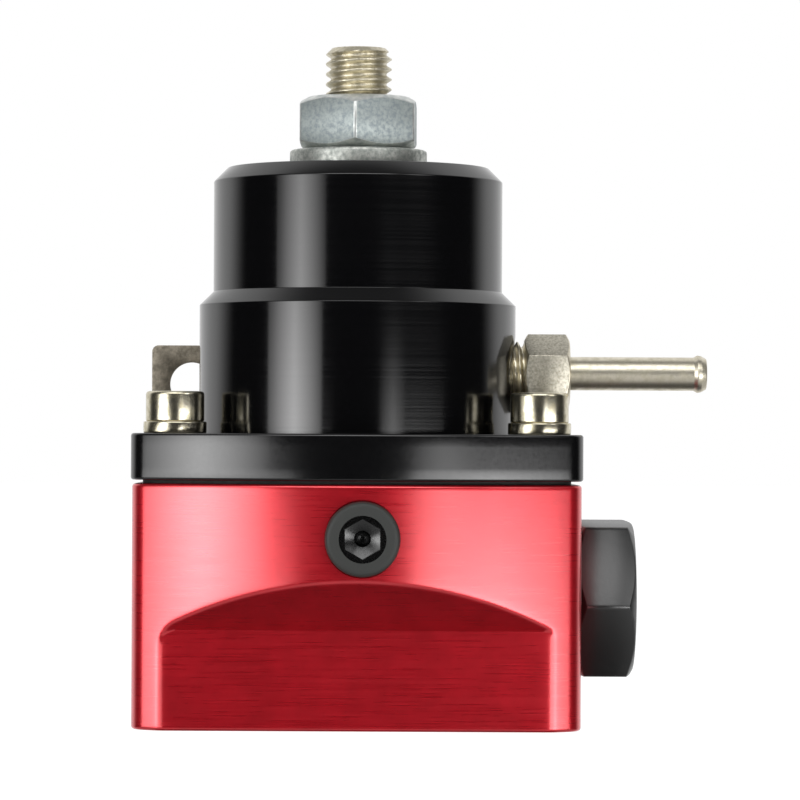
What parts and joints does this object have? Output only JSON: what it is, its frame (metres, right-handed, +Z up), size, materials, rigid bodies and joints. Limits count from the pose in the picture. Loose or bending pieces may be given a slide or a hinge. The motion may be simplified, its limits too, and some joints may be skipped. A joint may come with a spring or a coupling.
{
  "type": "adjustable fuel pressure regulator",
  "caption": "Bowed red block with side and return ports, a stepped black spring cover with adjusting screw and lock nut, a vacuum nipple and a folded mounting bracket.",
  "frame": {"origin": "centre of the return port's mouth, on the underside of the body", "axes": "+Z up along the axis of the valve, spring and adjusting screw; -Y to the front, where the gauge port is; +X to the plugged port and the vacuum nipple"},
  "size_m": [0.0846, 0.0617, 0.1001],
  "materials": {
    "red_anodised_aluminium": "brushed and dyed red anodised",
    "black_anodised_aluminium": "turned and glossy black anodised",
    "matt_black_aluminium": "matt black anodised",
    "turned_aluminium": "turned",
    "turned_steel": "ground",
    "nickel_plated_steel": "bright nickel plate",
    "nickel_plated_brass": "satin nickel plate",
    "zinc_plated_steel": "blue zinc plate",
    "zinc_plated_sheet": "dull zinc plate",
    "black_oxide_steel": "oiled black oxide",
    "seat_brass": "turned",
    "diaphragm_rubber": "fabric reinforced rubber",
    "seal_rubber": "moulded rubber"
  },
  "bodies": {
    "housing": {"regulator_body": "red_anodised_aluminium", "spring_cover": "black_anodised_aluminium", "diaphragm": "diaphragm_rubber", "valve_seat": "seat_brass", "main_spring": "turned_steel", "vacuum_nipple": "nickel_plated_brass", "gauge_port_plug": "black_oxide_steel", "inlet_port_plug": "matt_black_aluminium", "inlet_plug_o_ring": "seal_rubber", "cover_screws": "nickel_plated_steel", "lock_washers": "nickel_plated_steel", "mounting_bracket": "zinc_plated_sheet"},
    "valve": {"diaphragm_plate": "turned_aluminium", "valve_stem": "turned_steel", "stem_nut": "zinc_plated_steel", "valve_ball": "turned_steel"},
    "upper_spring_seat": {"spring_seat": "turned_aluminium"},
    "adjuster": {"adjusting_screw": "nickel_plated_steel"},
    "nut_washer": {"flat_washer": "zinc_plated_steel"},
    "nut": {"lock_nut": "zinc_plated_steel"}
  },
  "joints": [
    {"name": "adjuster_travel", "type": "slide", "parent": "housing", "child": "upper_spring_seat", "axis": [0, 0, 1], "range_m": [-0.006, 0.003], "deforming": ["main_spring"]},
    {"name": "adjuster_turn", "type": "hinge", "parent": "upper_spring_seat", "child": "adjuster", "pos_m": [0, 0, 0.1], "axis": [0, 0, 1], "range_deg": [-1440, 720]},
    {"name": "locknut_turn", "type": "hinge", "parent": "housing", "child": "nut_washer", "pos_m": [0, 0, 0.0822], "axis": [0, 0, 1], "range_deg": [0, 1440]},
    {"name": "locknut_travel", "type": "slide", "parent": "nut_washer", "child": "nut", "axis": [0, 0, 1], "range_m": [0, 0.006]},
    {"name": "valve_lift", "type": "slide", "parent": "housing", "child": "valve", "axis": [0, 0, 1], "range_m": [0, 0.0008], "stiffness_N_per_m": 15000, "deforming": ["diaphragm"]}
  ],
  "couplings": [
    {"joint": "adjuster_travel", "follows": "adjuster_turn", "m_per_rad": 0.00023873},
    {"joint": "locknut_travel", "follows": "locknut_turn", "m_per_rad": 0.00023873}
  ]
}
